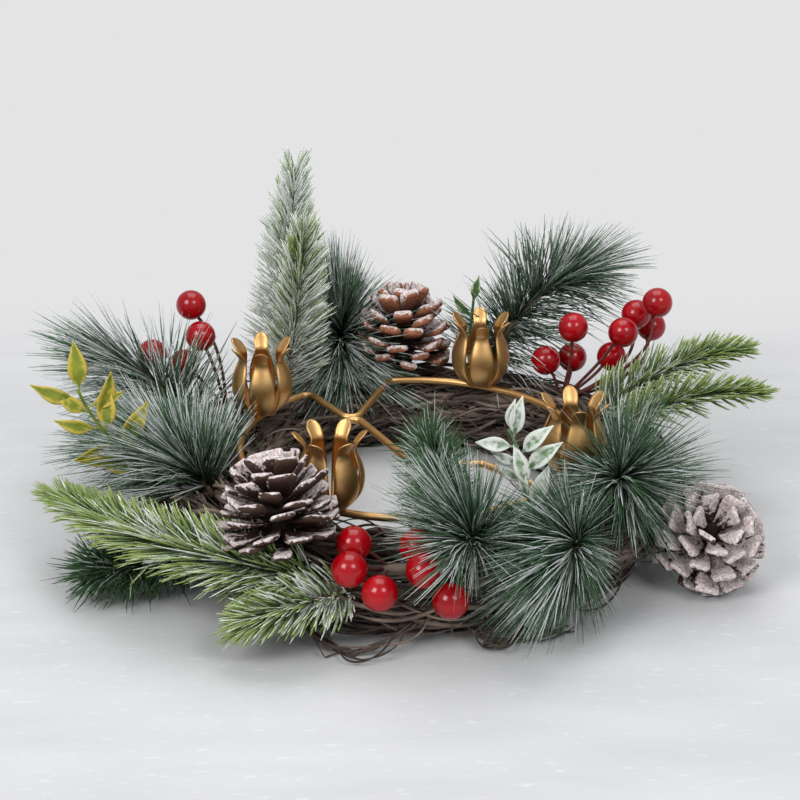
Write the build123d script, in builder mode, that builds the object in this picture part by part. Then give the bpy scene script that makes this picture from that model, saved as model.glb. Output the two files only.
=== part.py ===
from build123d import *
import math
import os

# Candle ring: a wound vine ring dressed with artificial greenery, pinecones and berries,
# with a bent-wire frame of tulip candle cups tied on top of it.
# Millimetres, +Z up, origin on the table under the middle of the ring.

# Vine ring: twisted vines over a flat spiral of thicker vine that lies on the table
ring_radius = 108.0
bundle_half_width = 24.0
bundle_half_height = 12.5
vine_radius = 3.0
vine_count = 3
vine_turns = 3
vine_sides = 6
vine_end_gap = 10.0
base_vine_radius = 3.2
base_vine_turns = 3
base_vine_pitch = 9.5
base_vine_flat = 0.2 * base_vine_radius
layer_gap = 0.5
seat_gap = 0.3

# Loose twigs that have sprung out of the front of the ring
twig_radius = 1.2
twig_bend = 14.0

# Gold wire frame
wire_radius = 1.9
frame_inset = 20.0
frame_lift = 2.8
notch_start = 98.0
notch_end = 129.0
notch_depth = 47.0
notch_angle = 139.0
wire_bend = 5.0
weld_gap = 0.1
brace_elbow_angle = -86.0
brace_elbow_share = 0.33
brace_crest_angle = -36.0
brace_crest_share = 0.5
brace_corner_angle = -41.0
brace_corner_inset = 4.0

# Tulip candle cups
cup_count = 4
first_cup_angle = 64.0
cup_turns = (26.0, 0.0, 0.0, 0.0)
petal_count = 6
candle_radius = 11.0
sheet = 0.9
cup_height = 38.5
cup_base_radius = 7.5
belly_radius = 16.2
belly_height = 15.0
belly_bend = 6.0
belly_crown = 0.3
belly_tuck = 2.6
belly_tuck_height = 6.0
neck_height = 28.5
neck_land = 3.0
tip_reach = 17.5
tip_disc_radius = 4.1
petal_base_width = 7.6
petal_belly_width = 13.4
petal_neck_width = 7.4

# Tie wires that hold the frame down on the vines
tie_radius = 0.7
wire_sides = 6
tie_angles = (30.0, 176.0, 222.0, 300.0)

# Pinecones
cone_height = 44.0
cone_radius = 27.5
cone_core_radius = 7.0
cone_core_share = 0.84
cone_tiers = 8
scales_per_tier = 5
scale_thickness = 1.8
scale_width = 13.5
first_scale_tilt = -8.0
last_scale_tilt = 72.0
first_scale_share = 0.16
last_scale_share = 0.72
cone_to_cup_gap = 0.9
pick_radius = 1.1

# Berries
berry_radius = 8.2
berry_stem_radius = 0.9

# Greenery
golden_angle = 137.508
fir_stem_radius = 1.6
fir_needle_radius = 0.9
fir_rows = (85, -85, 35, -35)
fir_first_share = 0.1
fir_base_lean = 58.0
fir_tip_lean = 28.0
tuft_stem_radius = 2.0
tuft_needle_radius = 0.7
needle_sides = 3
tuft_needles = 30
tuft_first_share = 0.3
tuft_fan = 115.0
tuft_tip_lean = 12.0
tinsel_needles = 24
tinsel_length = 13.0
tinsel_first_share = 0.2
tinsel_base_lean = 62.0
tinsel_tip_lean = 26.0
last_needle_share = 0.98
leaf_stem_radius = 0.9
leaf_thickness = 0.7
leaf_slimness = 0.42
leaf_first_share = 0.35
leaf_last_share = 0.97
leaf_spread = 55.0

os.makedirs("parts", exist_ok=True)


def keep(built, name):
    """Label a finished piece and write it under its own name."""
    built.part.label = name
    export_step(built.part, f"parts/{name}.step")


# Places worked out from the sizes above
vine_twist = 2 / vine_turns
frame_radius = ring_radius - frame_inset
bundle_height = 2 * base_vine_radius - base_vine_flat + layer_gap + vine_radius + bundle_half_height
ring_top = bundle_height + bundle_half_height + vine_radius
frame_height = ring_top + frame_lift + wire_radius
cup_floor = frame_height + wire_radius + weld_gap


def around(angle, radius, height):
    """A point at an angle in degrees round the ring."""
    turn = math.radians(angle)
    return Vector(radius * math.cos(turn), radius * math.sin(turn), height)


def biarcs(points, headings):
    """Draw a smooth route through the points, two equal-reach arcs from each point to the next."""
    for start, end, leave, arrive in zip(points, points[1:], headings, headings[1:]):
        chord = end - start
        forward = chord.dot(leave + arrive)
        spread = 2 * (1 - leave.dot(arrive))
        reach = (math.sqrt(forward**2 + spread * chord.dot(chord)) - forward) / spread
        first_corner = start + leave * reach
        second_corner = end - arrive * reach
        middle = (first_corner + second_corner) * 0.5
        TangentArc(start, middle, tangent=leave)
        TangentArc(middle, end, tangent=second_corner - first_corner)


# Twisted vines of the ring
def vine_place(turn, phase):
    """Middle of a vine and its heading, turn radians round the ring."""
    angle = phase + vine_twist * turn
    out = Vector(math.cos(turn), math.sin(turn), 0)
    along = Vector(-math.sin(turn), math.cos(turn), 0)
    up = Vector(0, 0, 1)
    radius = ring_radius + bundle_half_width * math.cos(angle)
    middle = out * radius + up * (bundle_height + bundle_half_height * math.sin(angle))
    inwards = -bundle_half_width * vine_twist * math.sin(angle)
    climb = bundle_half_height * vine_twist * math.cos(angle)
    heading = along * radius + out * inwards + up * climb
    return middle, heading.normalized()


def vine(index):
    """One unbroken vine that winds several times round the ring, with its middle line."""
    phase = 2 * math.pi * index / (vine_count * vine_turns)
    first = 2 * math.pi * index / vine_count
    sweep_angle = 2 * math.pi * vine_turns - vine_end_gap / ring_radius
    spans = 4 * vine_turns
    places = [vine_place(first + sweep_angle * i / spans, phase) for i in range(spans + 1)]
    with BuildPart() as built:
        with BuildLine() as route:
            biarcs([middle for middle, _ in places], [heading for _, heading in places])
        with BuildSketch(Plane(origin=route.line @ 0, z_dir=route.line % 0)):
            RegularPolygon(vine_radius, vine_sides)
        sweep()
    return built, route.wires()[0]


def base_vine():
    """The flat spiral that the ring stands on, cut flat where it meets the table."""
    spans = 4 * base_vine_turns
    inner = ring_radius - base_vine_pitch * base_vine_turns / 2
    height = base_vine_radius - base_vine_flat
    points = []
    headings = []
    for i in range(spans + 1):
        turn = i / 4
        radius = inner + base_vine_pitch * turn
        points.append(around(360 * turn, radius, height))
        growth = around(360 * turn, base_vine_pitch / (2 * math.pi), 0)
        headings.append((around(360 * turn + 90, radius, 0) + growth).normalized())
    with BuildPart() as built:
        with BuildLine() as route:
            biarcs(points, headings)
        with BuildSketch(Plane(origin=route.line @ 0, z_dir=route.line % 0)):
            RegularPolygon(base_vine_radius, vine_sides, rotation=180 / vine_sides)
        sweep()
        split(bisect_by=Plane.XY)
    return built, route.wires()[0]


def line_points(wire, step):
    """Points along a middle line, about a step apart."""
    count = int(wire.length / step)
    return [wire.position_at(i / count) for i in range(count + 1)]


def least_gap(points, reach, others, other_reach, skip):
    """Least clear distance between two tubes, or within one where skip points lie beside each other."""
    best = math.inf
    for i, point in enumerate(points):
        for other in others[i + skip:] if skip else others:
            best = min(best, math.dist(tuple(point), tuple(other)))
    return best - reach - other_reach


sample_step = 6.0
neighbours = int(6 * vine_radius / sample_step) + 1
vines = [vine(i) for i in range(vine_count)]
vine_lines = [line_points(wire, sample_step) for _, wire in vines]
base_built, base_wire = base_vine()
base_line = line_points(base_wire, sample_step)
for i in range(vine_count):
    keep(vines[i][0], f"vine_{i + 1}")
    own = least_gap(vine_lines[i], vine_radius, vine_lines[i], vine_radius, neighbours)
    below = least_gap(vine_lines[i], vine_radius, base_line, base_vine_radius, 0)
    after = vine_lines[(i + 1) % vine_count]
    beside = least_gap(vine_lines[i], vine_radius, after, vine_radius, 0)
    print(f"vine {i + 1}: gap to itself {own:.2f}, to the next vine {beside:.2f}, to the base {below:.2f} mm")
keep(base_built, "base_vine")
own = least_gap(base_line, base_vine_radius, base_line, base_vine_radius, neighbours)
print(f"base vine: gap to itself {own:.2f} mm")
vine_middles = [point for line in vine_lines for point in line]


# Seats on the vines for what the ring carries
def seat(angle, rise):
    """The vine nearest to a place on the bundle's skin: its middle, and the way out of the bundle there."""
    slant = math.radians(rise)
    radius = ring_radius + bundle_half_width * math.cos(slant)
    wanted = around(angle, radius, bundle_height + bundle_half_height * math.sin(slant))
    middle = min(vine_middles, key=lambda point: (point - wanted).length)
    turn = math.degrees(math.atan2(middle.Y, middle.X))
    away = (middle - around(turn, ring_radius, bundle_height)).normalized()
    return middle, away


def skin(angle, rise):
    """A place on the outside of the bundle, at an angle round the ring and a rise round the bundle."""
    slant = math.radians(rise)
    radius = ring_radius + (bundle_half_width + vine_radius) * math.cos(slant)
    return around(angle, radius, bundle_height + (bundle_half_height + vine_radius) * math.sin(slant))


def local(angle, offset):
    """Turn an offset (outwards, along the ring, upwards) at an angle round the ring into a vector."""
    outwards, along, upwards = offset
    return around(angle, outwards, upwards) + around(angle + 90, along, 0)


def rooted(angle, rise, first_step, radius):
    """Where a stem of this radius starts so that its end clears the vine it stands on by the seat gap."""
    middle, away = seat(angle, rise)
    cosine = first_step.normalized().dot(away)
    tilt = math.sqrt(max(0.0, 1 - cosine**2))
    return middle + away * (vine_radius + seat_gap + radius * tilt)


# Wire frame: a ring with one notch, and a zigzag brace inside it
def flat(angle, radius):
    """A point in the frame's own plane."""
    turn = math.radians(angle)
    return (radius * math.cos(turn), radius * math.sin(turn))


joint_angle = first_cup_angle + 180
half_joint = math.degrees(weld_gap / frame_radius)
joint_to_notch = 360 + notch_start - joint_angle - half_joint
frame_plane = Plane.XY.offset(frame_height)
notch_corners = (
    flat(notch_start, frame_radius),
    flat(notch_angle, frame_radius - notch_depth),
    flat(notch_end, frame_radius),
)
with BuildPart() as frame_ring:
    with BuildLine(frame_plane) as ring_route:
        CenterArc((0, 0), frame_radius, joint_angle + half_joint, joint_to_notch)
        Polyline(*notch_corners)
        CenterArc((0, 0), frame_radius, notch_end, joint_angle - half_joint - notch_end)
        bends = [
            vertex
            for vertex in ring_route.vertices()
            if min(math.dist((vertex.X, vertex.Y), corner) for corner in notch_corners) < weld_gap
        ]
        fillet(bends, wire_bend)
    with BuildSketch(Plane(origin=ring_route.line @ 0, z_dir=ring_route.line % 0)):
        Circle(wire_radius)
    sweep()
keep(frame_ring, "frame_ring")


def bend_depth(before, corner, after):
    """How far inside a sharp corner the bent wire's middle line passes, and the way there."""
    first = (Vector(*before) - Vector(*corner)).normalized()
    second = (Vector(*after) - Vector(*corner)).normalized()
    half = first.get_angle(second) / 2
    return wire_bend * (1 / math.sin(math.radians(half)) - 1), (first + second).normalized()


depth, outwards = bend_depth(*notch_corners)
touch = Vector(*notch_corners[1]) + outwards * (depth - 2 * wire_radius - weld_gap)
brace_start = flat(joint_angle, frame_radius - 1.4 * wire_radius - weld_gap)
brace_end = flat(first_cup_angle + 270, frame_radius - 2 * wire_radius - weld_gap)
elbow = flat(brace_elbow_angle, brace_elbow_share * frame_radius)
crest = flat(brace_crest_angle, brace_crest_share * frame_radius)
corner = flat(brace_corner_angle, frame_radius - brace_corner_inset)
apex = (touch.X, touch.Y)
for _ in range(5):
    depth, inwards = bend_depth(brace_start, apex, elbow)
    apex = (touch.X - inwards.X * depth, touch.Y - inwards.Y * depth)
with BuildPart() as frame_brace:
    with BuildLine(frame_plane) as brace_route:
        FilletPolyline(brace_start, apex, elbow, crest, corner, brace_end, radius=wire_bend)
    with BuildSketch(Plane(origin=brace_route.line @ 0, z_dir=brace_route.line % 0)):
        Circle(wire_radius)
    sweep()
keep(frame_brace, "frame_brace")

# Tulip cup: a spun sheet form cut into petals that belly out, close on the candle and end in round tips
half_span = 45.0
with BuildPart() as petal:
    with BuildSketch(Plane((0, 0, 0), x_dir=around(-half_span, 1, 0), z_dir=around(-half_span - 90, 1, 0))):
        with BuildLine():
            FilletPolyline(
                (cup_base_radius - sheet, 0),
                (belly_radius - sheet - belly_tuck, belly_tuck_height),
                (belly_radius - sheet + belly_crown, belly_height),
                (candle_radius, neck_height),
                radius=belly_bend,
            )
            Line((candle_radius, neck_height), (candle_radius, neck_height + neck_land))
            Line((candle_radius, neck_height + neck_land), (tip_reach - sheet, cup_height))
            offset(amount=sheet, side=Side.RIGHT)
        make_face()
    revolve(axis=Axis.Z, revolution_arc=2 * half_span)
    with BuildSketch(Plane.YZ):
        with BuildLine():
            foot = (petal_base_width / 2, 0)
            shoulder = (petal_neck_width / 2, neck_height)
            tip_middle = cup_height - tip_disc_radius
            tip_start = tip_middle - math.sqrt(tip_disc_radius**2 - (petal_neck_width / 2) ** 2)
            Line((0, 0), foot)
            ThreePointArc(foot, (petal_belly_width / 2, belly_height), shoulder)
            Line(shoulder, (petal_neck_width / 2, tip_start))
            ThreePointArc((petal_neck_width / 2, tip_start), (tip_disc_radius, tip_middle), (0, cup_height))
            mirror(about=Plane.YZ)
        make_face()
    extrude(amount=belly_radius + tip_reach, mode=Mode.INTERSECT)

with BuildPart() as tulip:
    with PolarLocations(0, petal_count):
        add(petal.part)
    Cylinder(cup_base_radius, sheet, align=(Align.CENTER, Align.CENTER, Align.MIN))

for i in range(cup_count):
    cup_angle = first_cup_angle + 360 * i / cup_count
    cup_turn = (0, 0, cup_angle + cup_turns[i])
    with BuildPart() as cup:
        with Locations(Location(around(cup_angle, frame_radius, cup_floor), cup_turn)):
            add(tulip.part)
    keep(cup, f"candle_cup_{i + 1}")

# Tie wires: each loops round the frame's wire and the vine nearest to it
for i, angle in enumerate(tie_angles):
    held = around(angle, frame_radius, frame_height)
    holder = min(vine_middles, key=lambda point: (point - held).length)
    across = (holder - held).normalized()
    held_end = held + across * (vine_radius - wire_radius)
    half = (holder - held_end).length / 2
    bow = vine_radius + seat_gap + tie_radius
    normal = around(angle + 90, 1, 0)
    normal = normal - across * normal.dot(across)
    with BuildPart() as tie:
        with BuildLine(Plane((held_end + holder) * 0.5, x_dir=across, z_dir=normal)) as loop:
            Line((-half, bow), (half, bow))
            ThreePointArc((half, bow), (half + bow, 0), (half, -bow))
            Line((half, -bow), (-half, -bow))
            ThreePointArc((-half, -bow), (-half - bow, 0), (-half, bow))
        with BuildSketch(Plane(origin=loop.line @ 0, z_dir=loop.line % 0)):
            RegularPolygon(tie_radius, wire_sides)
        sweep()
    keep(tie, f"tie_wire_{i + 1}")


# Loose twigs
def twig(name, start, places, end):
    """A twig that leaves a vine, bows out over the table and goes back to a vine or ends free."""
    route = [around(*place) for place in places]
    root = rooted(*start, route[0] - seat(*start)[0], twig_radius)
    points = [root, *route]
    if end:
        points.append(rooted(*end, route[-1] - seat(*end)[0], twig_radius))
    with BuildPart() as built:
        with BuildLine() as path:
            FilletPolyline(*points, radius=twig_bend)
        with BuildSketch(Plane(origin=path.line @ 0, z_dir=path.line % 0)):
            RegularPolygon(twig_radius, vine_sides)
        sweep()
    keep(built, name)


outer_edge = ring_radius + bundle_half_width + vine_radius
twig(
    "loose_twig_1",
    (246, -30),
    [(252, outer_edge + 8, 6), (259, outer_edge + 11, 2), (265, outer_edge + 8, 7)],
    (271, -25),
)
twig(
    "loose_twig_2",
    (279, -35),
    [(284, outer_edge + 5, 5), (291, outer_edge + 4, 3), (299, outer_edge + 7, 4)],
    None,
)


# Pinecones
def pinecone(name, angle, rise, reach, lean):
    """A cone of scales set at the golden angle round a core, and the wire pick that holds it on the ring."""
    foot = skin(angle, rise) + local(angle, reach)
    root = rooted(angle, rise, foot - seat(angle, rise)[0], pick_radius)
    with BuildPart() as pick:
        with BuildSketch(Plane(root, z_dir=foot - root)):
            Circle(pick_radius)
        extrude(amount=(foot - root).length)
    keep(pick, f"{name}_pick")

    stands = local(angle, lean).normalized()
    tilt = math.sqrt(1 - (foot - root).normalized().dot(stands) ** 2)
    body = Plane(foot + stands * (seat_gap + pick_radius * tilt), z_dir=stands)
    with BuildPart() as built:
        with BuildSketch(Plane(body.origin, x_dir=body.x_dir, z_dir=body.y_dir * -1)):
            with BuildLine():
                Polyline(
                    (0, 0),
                    (0.7 * cone_core_radius, 0),
                    (cone_core_radius, 0.3 * cone_height),
                    (0.3 * cone_core_radius, cone_core_share * cone_height),
                    (0, cone_core_share * cone_height),
                    close=True,
                )
            make_face()
        revolve(axis=Axis(body.origin, body.z_dir))
        for tier in range(cone_tiers):
            share = tier / (cone_tiers - 1)
            tilt = math.radians(first_scale_tilt + (last_scale_tilt - first_scale_tilt) * share)
            edge = cone_radius * math.sin(math.pi * (0.32 + 0.58 * share))
            inside = 0.4 * cone_core_radius * (1 - 0.7 * share)
            length = (edge - inside) / max(math.cos(tilt), 0.35)
            width = scale_width * (0.62 + 0.38 * math.sin(math.pi * (0.3 + 0.6 * share)))
            planes = []
            for k in range(scales_per_tier):
                number = tier * scales_per_tier + k
                turn = math.radians(golden_angle * number)
                out = body.x_dir * math.cos(turn) + body.y_dir * math.sin(turn)
                level = number / (cone_tiers * scales_per_tier)
                climb = cone_height * (first_scale_share + (last_scale_share - first_scale_share) * level)
                origin = body.origin + body.z_dir * climb + out * inside
                along = out * math.cos(tilt) + body.z_dir * math.sin(tilt)
                upper = body.z_dir * math.cos(tilt) - out * math.sin(tilt)
                planes.append(Plane(origin, x_dir=along, z_dir=upper))
            with BuildSketch(*planes):
                with BuildLine():
                    Polyline(
                        (0, -0.28 * width),
                        (0.72 * length, -0.5 * width),
                        (length, -0.22 * width),
                        (length, 0.22 * width),
                        (0.72 * length, 0.5 * width),
                        (0, 0.28 * width),
                        close=True,
                    )
                make_face()
            extrude(amount=scale_thickness)
    keep(built, name)


pinecone("pinecone_back", 92, 81, (0, 0, 4), (0.05, 0, 1))
front_rise = 45
front_ring_edge = ring_radius + (bundle_half_width + vine_radius) * math.cos(math.radians(front_rise))
front_out = frame_radius + belly_radius + cone_to_cup_gap + cone_radius - front_ring_edge
pinecone("pinecone_front", first_cup_angle + 180, front_rise, (front_out, 0, 9.5), (-0.1, -0.2, 1))
pinecone("pinecone_right", 337, -30, (23, -3, -3), (0.3, -0.7, 0.85))


# Berries on wire stems
def berries(name, angle, rise, places):
    """Round berries, each on a stem that bows sideways, and the stems joined at the ring.
    A place is the berry's offset from the stems' root, with its stem's bow along the ring."""
    middle, away = seat(angle, rise)
    root = middle + away * (vine_radius + seat_gap + berry_stem_radius)
    centres = [root + local(angle, place[:3]) for place in places]
    with BuildPart() as stems:
        for centre, place in zip(centres, places):
            bow = (root + centre) * 0.5 + local(angle, (0, place[3], 0))
            arrive = (centre - bow).normalized()
            tip = centre - arrive * (berry_radius + seat_gap + 0.5 * berry_stem_radius)
            with BuildLine() as path:
                ThreePointArc(root, bow, tip)
            with BuildSketch(Plane(origin=path.line @ 0, z_dir=path.line % 0)):
                RegularPolygon(berry_stem_radius, wire_sides)
            sweep()
    keep(stems, f"{name}_stems")
    with BuildPart() as fruit:
        with Locations(*centres):
            Sphere(berry_radius)
    keep(fruit, name)


berries("berries_left", 146, 51, [(21, 0, 54, -8), (10, 6, 40, -2), (21, 8, 22, -2), (35, 18, 28, 12)])
berries(
    "berries_right",
    43,
    73,
    [
        (27, -39, 57, -18),
        (14, -27, 40, -2),
        (-2, -5, 41, -2),
        (-9, 8, 20, -2),
        (33, -20, 44, -16),
        (48, -19, 33, -18),
        (22, -13, 20, -2),
        (13, 8, 16, -2),
    ],
)
berries("berries_front_left", 265, 59, [(-1, -16, 11, 2), (16, -16, 7, -2), (22, -2, -1, -2)])
berries("berries_front_right", 276, 59, [(0, -11, 9, 4), (18, -10, 6, 2), (25, 1, -6, -2)])


# Greenery: stems that stand on the vines, with needles or leaves
def stem_route(angle, rise, middle, tip, radius):
    """Foot, middle and tip of a stem that stands on the ring and bows through its middle."""
    base = skin(angle, rise)
    bow = base + local(angle, middle)
    foot = rooted(angle, rise, bow - seat(angle, rise)[0], radius)
    return foot, bow, base + local(angle, tip)


def stem_frame(line, share, facing):
    """Place on a stem, its heading there, and the two ways across it, the first towards its face."""
    heading = line % share
    up = (facing - heading * facing.dot(heading)).normalized()
    return line @ share, heading, up, heading.cross(up)


def needles(name, angle, rise, route, facing, stem_radius, needle_radius, length, plan):
    """A stem with needles fused to it. The plan lists each needle's place on the stem, azimuth and lean."""
    face = local(angle, facing)
    with BuildPart() as built:
        with BuildLine() as path:
            ThreePointArc(*stem_route(angle, rise, *route, stem_radius))
        with BuildSketch(Plane(origin=path.line @ 0, z_dir=path.line % 0)):
            RegularPolygon(stem_radius, vine_sides)
        sweep()
        planes = []
        for share, azimuth, lean in plan:
            place, heading, up, across = stem_frame(path.line, share, face)
            turn = math.radians(azimuth)
            slope = math.radians(lean)
            side = up * math.cos(turn) + across * math.sin(turn)
            way = heading * math.cos(slope) + side * math.sin(slope)
            planes.append(Plane(place + side * (0.4 * stem_radius), z_dir=way))
        with BuildSketch(*planes):
            RegularPolygon(needle_radius, needle_sides)
        extrude(amount=length)
    keep(built, name)


def fir(name, angle, rise, route, facing, count, length):
    """A fir tip: four rows of short needles, two to the sides and two above, closing in at the tip."""
    plan = []
    for i in range(count):
        share = i / (count - 1)
        place = fir_first_share + (last_needle_share - fir_first_share) * share
        lean = fir_base_lean + (fir_tip_lean - fir_base_lean) * share
        plan.append((place, fir_rows[i % len(fir_rows)], lean))
    needles(name, angle, rise, route, facing, fir_stem_radius, fir_needle_radius, length, plan)


def tuft(name, angle, rise, route, facing, spread, length):
    """A pine tuft: long needles set at the golden angle over the upper side, leaning less towards the tip."""
    plan = []
    for i in range(tuft_needles):
        share = i / (tuft_needles - 1)
        azimuth = tuft_fan * ((golden_angle * i) % 360 / 180 - 1)
        place = tuft_first_share + (last_needle_share - tuft_first_share) * share
        plan.append((place, azimuth, spread + (tuft_tip_lean - spread) * share))
    needles(name, angle, rise, route, facing, tuft_stem_radius, tuft_needle_radius, length, plan)


def tinsel(name, angle, rise, route, facing):
    """A tinsel pick: short needles all round, at the golden angle."""
    plan = []
    for i in range(tinsel_needles):
        share = i / (tinsel_needles - 1)
        place = tinsel_first_share + (last_needle_share - tinsel_first_share) * share
        lean = tinsel_base_lean + (tinsel_tip_lean - tinsel_base_lean) * share
        plan.append((place, golden_angle * i, lean))
    needles(name, angle, rise, route, facing, fir_stem_radius, tuft_needle_radius, tinsel_length, plan)


fir("fir_back_tall", 121, 62, ((5, 1, 62), (13, -6, 120)), (-1, 0, 0.1), 40, 19)
fir("fir_back_short", 131, 90, ((-3, -8, 45), (0, -16, 87)), (-1, 0, 0.1), 24, 17)
fir("fir_left_long", 252, 25, ((8, -70, 12), (-31, -148, 8)), (0, 0, 1), 40, 19)
fir("fir_front_small", 258, 8, ((16, -20, 3), (24, -42, -4)), (0.3, 0, 1), 24, 16)
fir("fir_right_upper", 29, 77, ((32, -22, 26), (60, -46, 39)), (-0.3, 0, 1), 26, 18)
fir("fir_right_lower", 17, 84, ((33, -18, 19), (64, -39, 26)), (0, 0, 1), 26, 18)

tuft("tuft_left_back", 159, 56, ((17, 3, 17), (35, 9, 33)), (0, 0.6, 1), 64, 57)
tuft("tuft_left_mid", 205, 90, ((9, -9, 10), (24, -24, 16)), (0, -0.1, 1), 60, 54)
tuft("tuft_back_centre", 108, 60, ((5, 0, 14), (11, -1, 28)), (0.3, 0.5, 1), 32, 45)
tuft("tuft_back_right", 69, 87, ((18, -19, 36), (38, -42, 56)), (0, 0.5, 1), 62, 43)
tuft("tuft_right", 335, 80, ((4, -13, 11), (8, -27, 19)), (1, 0, 0.5), 62, 45)
tuft("tuft_front_right", 310, 62, ((9, -10, 4), (18, -22, 4)), (0, 0, 1), 66, 47)
tuft("tuft_front_centre", 285, 82, ((9, -3, 8), (19, -8, 12)), (0, 0, 1), 66, 48)

tinsel("tinsel_centre", 277, 100, ((-8, 1, 22), (-32, -1, 36)), (0, 0, 1))
tinsel("tinsel_left", 217, -10, ((20, -8, -1), (38, -16, -3)), (0, 0, 1))


def leaf_sprig(name, angle, rise, route, facing, count, length):
    """A stem with pointed leaves, set to its two sides by turns and one at the tip."""
    face = local(angle, facing)
    with BuildPart() as built:
        with BuildLine() as path:
            ThreePointArc(*stem_route(angle, rise, *route, leaf_stem_radius))
        with BuildSketch(Plane(origin=path.line @ 0, z_dir=path.line % 0)):
            RegularPolygon(leaf_stem_radius, vine_sides)
        sweep()
        planes = []
        for i in range(count):
            share = leaf_first_share + (leaf_last_share - leaf_first_share) * i / (count - 1)
            place, heading, up, across = stem_frame(path.line, share, face)
            spread = 0 if i == count - 1 else leaf_spread * (-1) ** i
            turn = math.radians(spread)
            way = heading * math.cos(turn) + across * math.sin(turn)
            planes.append(Plane(place - up * (leaf_thickness / 2), x_dir=way, z_dir=up))
        with BuildSketch(*planes):
            with BuildLine():
                half_width = leaf_slimness * length / 2
                ThreePointArc((0, 0), (length / 2, half_width), (length, 0))
                ThreePointArc((length, 0), (length / 2, -half_width), (0, 0))
            make_face()
        extrude(amount=leaf_thickness)
    keep(built, name)


leaf_sprig("leaf_sprig_left", 197, 45, ((24, 0, 28), (40, -2, 58)), (0.6, -0.3, 1), 6, 15)
leaf_sprig("leaf_sprig_centre", 301, 95, ((-7, 2, 24), (-16, -2, 46)), (0.6, -0.8, 0.3), 6, 18)
leaf_sprig("leaf_sprig_back", 75, 85, ((2, -4, 22), (5, -6, 46)), (-1, 0, 0.2), 4, 13)
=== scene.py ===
import math
import bpy
import numpy as np
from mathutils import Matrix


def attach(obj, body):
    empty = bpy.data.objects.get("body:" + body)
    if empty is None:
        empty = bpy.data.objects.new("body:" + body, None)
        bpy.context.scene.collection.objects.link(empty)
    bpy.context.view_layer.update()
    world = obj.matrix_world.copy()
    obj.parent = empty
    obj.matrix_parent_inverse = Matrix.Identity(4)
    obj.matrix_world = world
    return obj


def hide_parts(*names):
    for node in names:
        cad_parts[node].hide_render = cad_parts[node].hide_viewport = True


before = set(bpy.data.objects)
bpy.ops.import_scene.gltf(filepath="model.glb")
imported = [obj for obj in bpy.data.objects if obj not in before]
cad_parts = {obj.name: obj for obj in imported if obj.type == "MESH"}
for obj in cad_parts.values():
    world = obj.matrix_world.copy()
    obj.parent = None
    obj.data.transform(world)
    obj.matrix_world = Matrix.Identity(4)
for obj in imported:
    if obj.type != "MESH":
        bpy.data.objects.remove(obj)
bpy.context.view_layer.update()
mm = 0.001
chance = np.random.default_rng(24)

# Sizes of the ring, as in the part's source
ring_radius = 108 * mm
bundle_half_width = 24 * mm
bundle_half_height = 12.5 * mm
bundle_height = 21.76 * mm
vine_count = 3
vine_radius = 3 * mm
outer_edge = ring_radius + bundle_half_width + vine_radius
vine_turns = 3
vine_twist = 2 / vine_turns
vine_end_gap = 10 * mm
base_vine_turns = 3
base_vine_pitch = 9.5 * mm
base_vine_height = 3.2 * mm
above_table = 0.1 * mm
golden_angle = math.radians(137.508)

# Camera fitted to the photograph, which is square
camera_place = (-5.89 * mm, -824.22 * mm, 403.47 * mm)
camera_pitch = 22.275
camera_lens = 78.7


def around(angle, radius, height):
    """A point at an angle in degrees round the ring."""
    turn = math.radians(angle)
    return np.array([radius * math.cos(turn), radius * math.sin(turn), height])


def skin(angle, rise):
    """A place on the outside of the vine bundle, which is an ellipse round the ring's middle line."""
    slant = math.radians(rise)
    out = ring_radius + (bundle_half_width + vine_radius) * math.cos(slant)
    return around(angle, out, bundle_height + (bundle_half_height + vine_radius) * math.sin(slant))


def local(angle, offset):
    """An offset (outwards, along the ring, upwards) in millimetres, at an angle round the ring."""
    outwards, along, upwards = offset
    return (around(angle, outwards, upwards) + around(angle + 90, along, 0)) * mm


def unit(vectors):
    """The vectors at length one."""
    return vectors / np.linalg.norm(vectors, axis=-1, keepdims=True)


def sway(count, steps, waves, size):
    """Smooth random curves: each row is the size times the mean of a few sines with random phases."""
    share = np.linspace(0, 1, steps)
    phase = chance.uniform(0, 2 * math.pi, (count, len(waves), 1))
    rows = np.sin(2 * math.pi * np.array(waves)[:, None] * share + phase)
    return size * rows.mean(axis=1)


def quadratic(foot, middle, tip, t):
    """Places and headings on the parabola through three points at the shares 0, a half and 1."""
    place = foot * (1 - t) * (1 - 2 * t) + middle * 4 * t * (1 - t) + tip * t * (2 * t - 1)
    heading = foot * (4 * t - 3) + middle * (4 - 8 * t) + tip * (4 * t - 1)
    return place, unit(heading)


def rolled(upper, across, angle):
    """Two ways across a heading, both turned round it by an angle."""
    cosine, sine = np.cos(angle), np.sin(angle)
    return upper * cosine + across * sine, across * cosine - upper * sine


# Meshes
def ring_faces(paths, rings, sides):
    """Quads from each ring of points to the next along every path, and one face to close each end."""
    here = np.arange(sides)
    after = (here + 1) % sides
    row = sides * np.arange(rings - 1)[:, None]
    quads = np.stack([row + here, row + after, row + sides + after, row + sides + here], axis=-1)
    ends = np.stack([here[::-1], here + sides * (rings - 1)])
    first = sides * rings * np.arange(paths)[:, None, None]
    return [(quads.reshape(1, -1, 4) + first).reshape(-1, 4), (ends + first).reshape(-1, sides)]


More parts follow.
